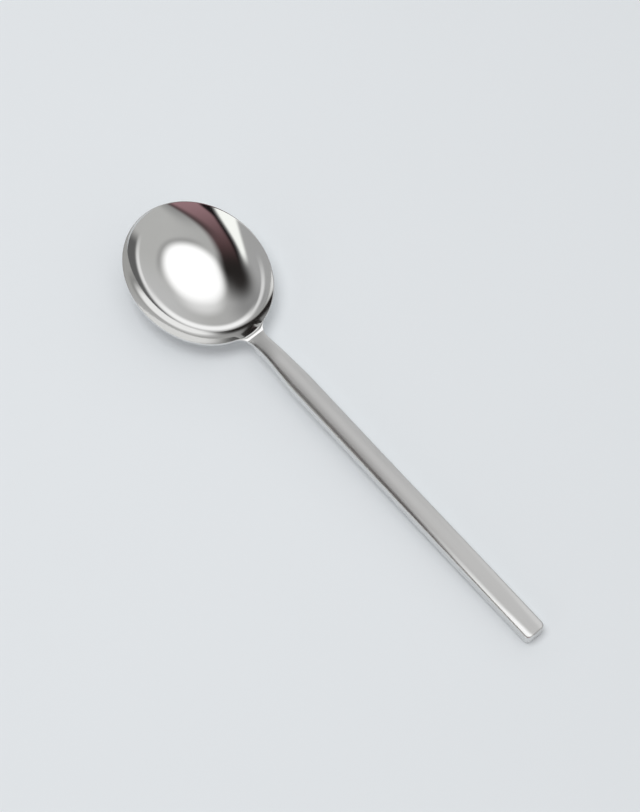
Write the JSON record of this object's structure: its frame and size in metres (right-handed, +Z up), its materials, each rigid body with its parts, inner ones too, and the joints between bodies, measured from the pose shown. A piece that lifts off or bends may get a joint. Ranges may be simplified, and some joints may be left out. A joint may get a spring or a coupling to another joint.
{
  "type": "punch spoon",
  "caption": "Steel serving spoon with an oval mirror-polished bowl, welded at the neck to a straight satin-brushed bar handle.",
  "frame": {"origin": "on the table, under the middle of the spoon's length, as it lies with its hollow up", "axes": "+X from the bowl to the handle's end, +Y across the bowl, +Z up"},
  "size_m": [0.1778, 0.043, 0.013],
  "materials": {
    "polished_steel": "mirror-polished stainless steel",
    "ground_weld": "weld ground flush and brushed",
    "satin_steel": "satin-brushed stainless steel, grain along the handle"
  },
  "bodies": {
    "root": {"bowl": "polished_steel", "neck_weld": "ground_weld", "handle": "satin_steel"}
  },
  "joints": []
}
